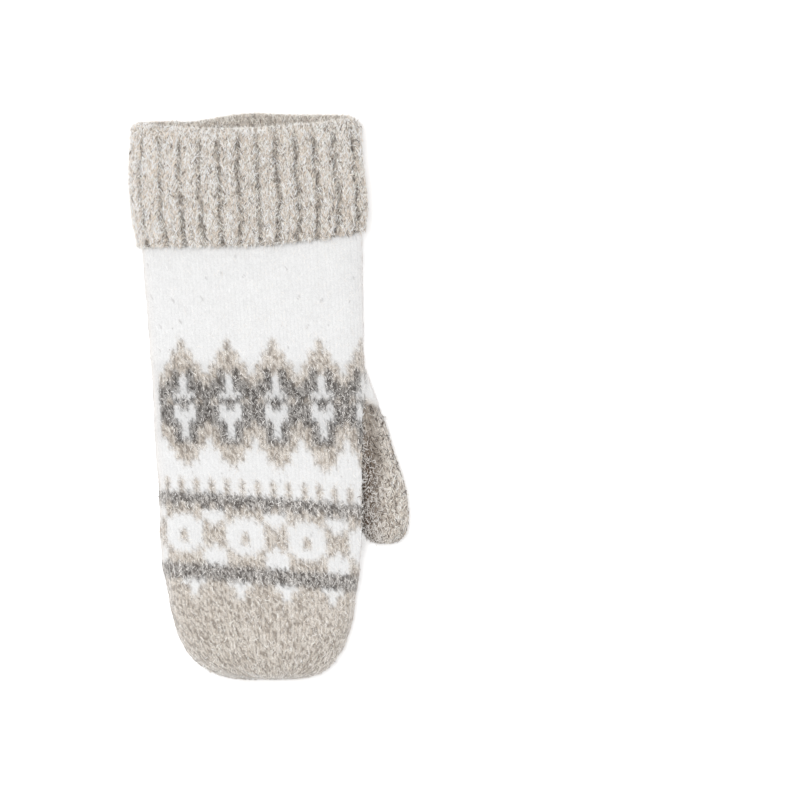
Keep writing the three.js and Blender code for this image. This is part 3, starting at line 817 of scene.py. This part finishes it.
# The thumb's beige yarn shows through the gusset's white near the seam, most beside the hand
nearThumb = 1 - ease(-pastSeam(handPoints[..., 1], handPoints[..., 2]), *gusset["beigeFades"])
nearThumb = nearThumb * swollen * mix(1, gusset["beigeFarOut"], ease(pastEdge, *gusset["farOut"]))
handColours = mix(handColours, baseColours[1], nearThumb[..., None])
# Painted rim light where the hand turns away at its sides
handColours = mix(handColours, paintedRimLight, paintedRimLightShare(gridNormals(handPoints), nearNap)[..., None])

hollowEnd = tipY + size.knitWall + hand["hollowShort"]
hollowY = np.linspace(wristY, hollowEnd, hand["hollow"])[::-1]
hollowPoints, hollowColumns, _ = handGrid(hollowY, size.knitWall, 0)
hollowColours = np.broadcast_to(toLinear(hand["lining"]), hollowPoints.shape)
knitHand = tubeMesh(
    "knitHand",
    np.concatenate([hollowPoints, handPoints]),
    np.concatenate([hollowColumns, handColumns]) + 0.5,
    np.concatenate([np.zeros(hollowColumns.shape), handCourses]),
    np.concatenate([hollowColours, handColours]),
    np.concatenate([np.ones(hollowColumns.shape), handTexture]),
    capped=True,
)
dress(knitHand, handWool, "hand")


def handYarn(row, spot, column, course):
    dragged = yarnBeside(column, course)
    kind = np.where(random.random(len(row)) < gussetShare[row, spot], 0, dragged)
    kind = np.where(random.random(len(row)) < nearThumb[row, spot], 1, kind)
    # Painted shade on fibres from the gaps between legs, and painted light on those from the legs
    shade = np.where(kind == 0, 1, mix(*knit["legShades"], stitchRelief(column, course)))
    return kind, shade * starShade(kind, course)


handWeight = np.maximum(np.array(hand["napWeights"])[handYarns], nearThumb)
handWeight = (handWeight * (handPoints[..., 1] < freeEdgeY + hand["napUnderCuff"]))[:-1]
handMarks = (handColumns, handCourses, 1 / hand["stitchPoints"])
handLooks = {"napHandA": nearNap, "napHandB": nearNap, "hairsHand": guardHairs}
brush((handPoints, handMarks, handWeight, handYarn), handLooks)

# The thumb's plain tube
thumb = {
    "stitches": 16, "around": 126, "along": 110, "tip": 34,
    "startPast": 9, "tipSink": 4, "relief": 0.25, "slack": 0.25, "slackSeed": 5.0,
    "under": 1.3,  # its start lies this far inside the gusset
    "coming": (-0.4, 1.6),  # it comes out over this length before the seam
    "shaded": ["#6C5B4A", "#FFFFFF"],  # the hand's shade on it, and none
    "shadeReach": (1.5, 12), "shadeAtSeam": 0.55,
    "shadeGrows": 28,  # over this length past the seam
    "shadeTufts": (1.2, 0.5),  # its pale and its dark tufts in that shade
    "farOut": (1, 14),  # from the side of the hand
    "whiteStarts": -3,  # the gusset's white fibres fade out from here past the seam
    "whiteFades": (3, 17),  # to here, beside the hand and far out
    "whiteMost": (0.2, 0.9),  # their share before that, likewise
}
thumbNap = nearNap | {
    "below": 0.3, "length": (1.4, 3.6), "legShare": 0.6, "picked": 0.9, "rim": 0, "rimRight": 0.75,
}
thumbTurns = np.arange(thumb["around"]) / thumb["around"]
thumbY = stations(seamY + thumb["startPast"], thumbTipY, size.thumbRounding, thumb["along"], thumb["tip"])


# Outline points evenly spaced round a tube at each place
def evenOutlines(y, tubeAt, count):
    x, z = outline(tubeAt(y[:, None], 0), 0, turns[None, :])
    around = lengthsRound(x, z)
    grid = np.zeros((len(y), count, 3))
    for i in range(len(y)):
        at = np.arange(count) / count * around[i, -1]
        grid[i, :, 0] = valuesRound(at, around[i], x[i])
        grid[i, :, 2] = valuesRound(at, around[i], z[i])
    grid[..., 1] = y[:, None]
    return grid


# Warm shade of the hand on the thumb where it comes out from under it, as a colour and a share
def besideHand(x, y):
    shadow = 1 - ease(x - handTube(y, 0)["right"], *thumb["shadeReach"])
    shadow = shadow * mix(thumb["shadeAtSeam"], 1, ease(seamY - y, 0, thumb["shadeGrows"]))
    shaded, lit = (toLinear(colour) for colour in thumb["shaded"])
    return mix(lit, shaded, shadow[..., None]), shadow


# Share of the gusset's white fibres, which reach furthest over the thumb's outer side
def whiteOver(x, y, z):
    out = ease(x - handTube(y, 0)["right"], *thumb["farOut"])
    reach = mix(*thumb["whiteFades"], out)
    return (1 - ease(pastSeam(y, z), thumb["whiteStarts"], reach)) * mix(*thumb["whiteMost"], out)


thumbPoints = evenOutlines(thumbY, thumbTube, thumb["around"])
thumbColumns = np.broadcast_to(thumbTurns * thumb["stitches"], thumbPoints.shape[:2])
thumbCourses = (thumbRootY - thumbPoints[..., 1]) / knit["courseHeight"]
within = ease(-pastSeam(thumbPoints[..., 1], thumbPoints[..., 2]), *thumb["coming"])
thumbRaised = thumb["relief"] * (stitchRelief(thumbColumns, thumbCourses) - knit["reliefMiddle"])
thumbRaised += thumb["slack"] * slack(thumbPoints, thumb["slackSeed"])
thumbRaised -= thumb["under"] * within
thumbPoints = sinkUnderNap(thumbPoints, thumbRaised, thumbTipY, thumb["tipSink"])
thumbTufts = fibreColours(np.ones(thumbColumns.shape, int), tuftAt(thumbColumns, thumbCourses))
thumbBase = mix(baseColours[1], thumbTufts, knit["tuftShare"])
thumbBase = mix(thumbBase, baseColours[0], whiteOver(*np.moveaxis(thumbPoints, 2, 0))[..., None])
thumbColours = thumbBase * besideHand(thumbPoints[..., 0], thumbPoints[..., 1])[0]
# Painted rim light where the thumb turns away at its sides
thumbColours = mix(thumbColours, paintedRimLight, paintedRimLightShare(gridNormals(thumbPoints), thumbNap)[..., None])
thumbUv = thumbColumns + 0.5
knitThumb = tubeMesh("knitThumb", thumbPoints, thumbUv, thumbCourses, thumbColours, 1.0, capped=True)
dress(knitThumb, handWool, "thumb")


def thumbYarn(row, spot, column, course):
    x, y, z = thumbPoints[row, spot].T
    colour, shadow = besideHand(x, y)
    tuftShade = mix(1, mix(*thumb["shadeTufts"], tuftAt(column, course)), shadow)
    # Painted shade from the gaps between legs and painted light from the legs, on top of the hand's shade
    shade = tuftShade * mix(*knit["legShades"], stitchRelief(column, course))
    kind = np.where(random.random(len(row)) < whiteOver(x, y, z), 0, 1)
    return kind, colour * shade[:, None]


thumbWeight = 1.0 * (within[:-1] < 0.5)
thumbMarks = (thumbColumns, thumbCourses, thumb["stitches"] / thumb["around"])
thumbLooks = {"napThumb": thumbNap, "hairsThumb": guardHairs}
brush((thumbPoints, thumbMarks, thumbWeight, thumbYarn), thumbLooks)

# The cuff, ribbed and turned back on itself
cuff = {
    "ribPoints": 18, "ribStitches": 3,
    "purlWidth": 0.12,  # of half a purl stitch squeezed into a valley, as a share of a rib
    "outer": 108, "fold": 14, "inner": 24, "hem": 6,  # rings of each
    "hemRelief": 0.4, "hemLength": 0.9,
    "hemDepth": 0.55,  # how far the free edge rounds off, as a share of the ply
    "valleyDepth": 1.4,
    "valleyWidth": 0.15,  # as a share of a rib
    "ribRound": 0.35, "purlRelief": 0.5, "relief": 0.5, "waver": 0.035,
    "wavers": ((1, 5.2, 2.4), (0.7, 2.1, 4.1)),  # how much, how long and how far on for the next rib
    "waverReach": 0.3,  # the stitches this near a valley waver with it
    "innerRelief": 0.25,
    "gapTufts": 0.45,  # share of the tufts in the valleys that are gaps between purl bumps
    "gapsAcross": 1.4,
    "valleyShade": (0.38, 0.92),  # in those gaps and on the bumps
    "valleyRange": (0.15, 0.6),
    "valleysEnd": 5,  # the valleys flatten over this length before the fold
    "onFold": 0.35,  # and show this much on it
    # legShades: painted shade on fibres from the gaps, and painted light on those from the legs
    "legShades": (0.93, 1.22),
    "paleLeft": 1.12,  # the side that the light comes from is paler
    "innerShade": 0.8,
    "innerRange": (0.4, 0.9),  # of the relief that a ring has
    "napInside": 8,  # rings past the fold that have nap
    "napInValley": 0.5,
}


# Points of the cuff at even lengths round its middle
ribAround = size.ribCount * cuff["ribPoints"]
cuffMiddle = cuffTube(np.array([[(freeEdgeY + mouthY) / 2]]))
around = lengthsRound(*outline(cuffMiddle, 0, turns[None, :]))[0]
cuffTurns = np.interp(np.arange(ribAround) / ribAround * around[-1], around, np.append(turns, 1))
bend = size.cuffPly + size.plyGap / 2
innerInset = cuffInset + size.cuffPly
edges = follow(cuffEdges, cuffTurns)
foldStart = mouthY + edges["mouth"] * size.mouthSwing - bend - knit["underNap"]
edgeLine = freeEdgeY + edges["edge"] * size.edgeSwing + knit["underNap"]
hemEnd = edgeLine + cuff["hemLength"]
wristEnd = np.full(ribAround, wristY + size.seamGap)

# Rings of the folded ply, each with its inset, its place along Y and how far the ribs show
rings = []
for share in np.linspace(0, 1, cuff["hem"]):
    angle = share * math.pi / 2
    inset = size.cuffPly * cuff["hemDepth"] * (1 - math.sin(angle))
    rings.append((inset, mix(hemEnd, edgeLine, math.cos(angle)), mix(cuff["hemRelief"], 1, share)))
for share in np.linspace(0, 1, cuff["outer"])[1:]:
    rings.append((0, mix(hemEnd, foldStart, share), 1))
for angle in np.linspace(0, math.pi, cuff["fold"])[1:]:
    ribShow = mix(cuff["innerRelief"], 1, math.cos(angle / 2))
    rings.append((bend * (1 - math.cos(angle)), foldStart + bend * math.sin(angle), ribShow))
for share in np.linspace(0, 1, cuff["inner"])[1:]:
    rings.append((innerInset, mix(foldStart, wristEnd, share), cuff["innerRelief"]))
for place in (wristEnd, mix(wristEnd, foldStart, 0.5), foldStart):
    rings.append((cuffInset, place, 0))
for place in (foldStart, mix(edgeLine, foldStart, 0.5), edgeLine):
    rings.append((size.cuffPly, place, 0))

insets, places, shows = zip(*rings)
ringInset, ringY, ringRib = np.array(insets)[:, None], np.stack(places), np.array(shows)[:, None]
ribPhase = np.arange(ribAround) / cuff["ribPoints"]
ribIndex = np.round(ribPhase)
waves = [share * np.sin(ringY / length + ribIndex * turn) for share, length, turn in cuff["wavers"]]
waver = cuff["waver"] * sum(waves)
valley = np.exp(-(((ribPhase - ribIndex + waver) / cuff["valleyWidth"]) ** 2))
# Three columns of stitches for each rib, with the purl one squeezed into the valley
inRib = (ribPhase + waver * (np.abs(ribPhase - ribIndex) < cuff["waverReach"])) % 1
purlEnds, stitches = [0, cuff["purlWidth"], 1 - cuff["purlWidth"], 1], cuff["ribStitches"]
inStitches = np.interp(inRib, purlEnds, [0, 0.5, stitches - 0.5, stitches])
ribColumns = np.floor(ribPhase) * stitches + inStitches
ribCourses = (ringY - mouthY) / knit["courseHeight"]
valley = valley * mix(cuff["onFold"], 1, ease(foldStart - ringY, 0, cuff["valleysEnd"]))
purl = np.abs(np.sin(math.pi * ribCourses + ribIndex)) * valley
ribFall = cuff["ribRound"] * (0.5 + 0.5 * np.cos(2 * math.pi * ribPhase))
ribRelief = cuff["relief"] * (stitchRelief(ribColumns, ribCourses) - knit["reliefMiddle"]) * (1 - valley)
sunk = cuff["valleyDepth"] * valley - cuff["purlRelief"] * purl + ribFall - ribRelief
cuffInsets = ringInset + ringRib * sunk + knit["underNap"]
across, above = outline(cuffTube(ringY), cuffInsets, cuffTurns[None, :])
cuffPoints = np.stack([across, ringY, np.maximum(above, 0)], 2)
# Painted shade on the inner ply and on the inner side of the fold, where the ribs show less
shown = mix(cuff["innerShade"], 1, ease(ringRib, *cuff["innerRange"]))
gaps = tuftAt(ribColumns * cuff["gapsAcross"], ribCourses) < cuff["gapTufts"]
valleyShade = mix(1, np.where(gaps, *cuff["valleyShade"]), ease(valley, *cuff["valleyRange"]))
paleSide = mix(cuff["paleLeft"], 1, ease(across - cuffX, -size.cuffWidth / 2, 0))
# The cuff's painted shade in the valleys and on the inner ply, with painted light on its left side
cuffShade = valleyShade * shown * paleSide
cuffColours = baseColours[1] * cuffShade[..., None]
ribUv = np.broadcast_to(ribPhase * stitches + 0.5, ringY.shape)
knitCuff = tubeMesh("knitCuff", cuffPoints, ribUv, ribCourses, cuffColours, 1.0, capped=False)
dress(knitCuff, ribWool, "cuff")


def cuffYarn(row, spot, column, course):
    # Painted shade from the gaps and painted light from the legs, on the cuff's painted shade and light
    legs = mix(*cuff["legShades"], stitchRelief(column, course))
    return np.ones(len(row), int), cuffShade[row, spot] * legs


outerRings = cuff["hem"] + cuff["outer"] + cuff["fold"] + cuff["napInside"]
cuffWeight = mix(1, cuff["napInValley"], valley[: outerRings - 1])
cuffNap = nearNap | {
    "length": (1.5, 3.2), "below": 0.15, "legShare": 0.9, "legTurn": -0.45, "legSpread": 0.16,
    "tufted": 0.6, "picked": 0.75, "rim": 0.6,
}
cuffMarks = (ribColumns, ribCourses, stitches / cuff["ribPoints"])
cuffLooks = {"napCuff": cuffNap, "hairsCuff": guardHairs | {"rim": 0.4}}
brush((cuffPoints[:outerRings], cuffMarks, cuffWeight, cuffYarn), cuffLooks)

# Table, light and camera
studio = {
    "floorSide": 6.0, "floorGlow": 0.35, "world": 0.66, "cameraHeight": 4.0, "sensor": 36.0,
    "lampSide": 0.9, "lampPower": 29, "lampPlace": (-0.45, 0.35, 2.4), "lampTurn": (-8, -10.6, 0),
}


# White acrylic table lit from below: even white with hardly a shadow
half = studio["floorSide"] / 2
table = bpy.data.meshes.new("floor")
corners = [(-half, -half, 0), (half, -half, 0), (half, half, 0), (-half, half, 0)]
table.from_pydata(corners, [], [(0, 1, 2, 3)])
floor = addObject("floor", table)
acrylic, tree = emptyMaterial("litWhiteAcrylic")
surface = {"Base Color": (0.9, 0.9, 0.9, 1), "Roughness": 0.7, "Emission Color": (1, 1, 1, 1)}
board = addNode(tree, "ShaderNodeBsdfPrincipled", surface | {"Emission Strength": studio["floorGlow"]})
addNode(tree, "ShaderNodeOutputMaterial", {"Surface": board.outputs[0]})
table.materials.append(acrylic)

world = bpy.data.worlds.new("studio")
bpy.context.scene.world = world
world.use_nodes = True
sky = world.node_tree.nodes["Background"].inputs
sky["Color"].default_value = (1, 1, 1, 1)
sky["Strength"].default_value = studio["world"]

lamp = bpy.data.lights.new("softbox", "AREA")
lamp.size = studio["lampSide"]
lamp.energy = studio["lampPower"]
softbox = addObject("softbox", lamp)
softbox.location = studio["lampPlace"]
softbox.rotation_euler = [math.radians(turn) for turn in studio["lampTurn"]]

bpy.context.scene.view_settings.view_transform = "Standard"
lens = bpy.data.cameras.new("camera")
lens.sensor_width = studio["sensor"]
pixelMetres = pixel * millimetre
lens.lens = studio["sensor"] * studio["cameraHeight"] / (pictureSide * pixelMetres)
lens.clip_end = 100
camera = addObject("camera", lens)
overX = (pictureSide / 2 - pictureZero[0]) * pixelMetres
overY = (pictureZero[1] - pictureSide / 2) * pixelMetres
camera.location = (overX, overY, studio["cameraHeight"])
bpy.context.scene.camera = camera

print("mitten: finished")
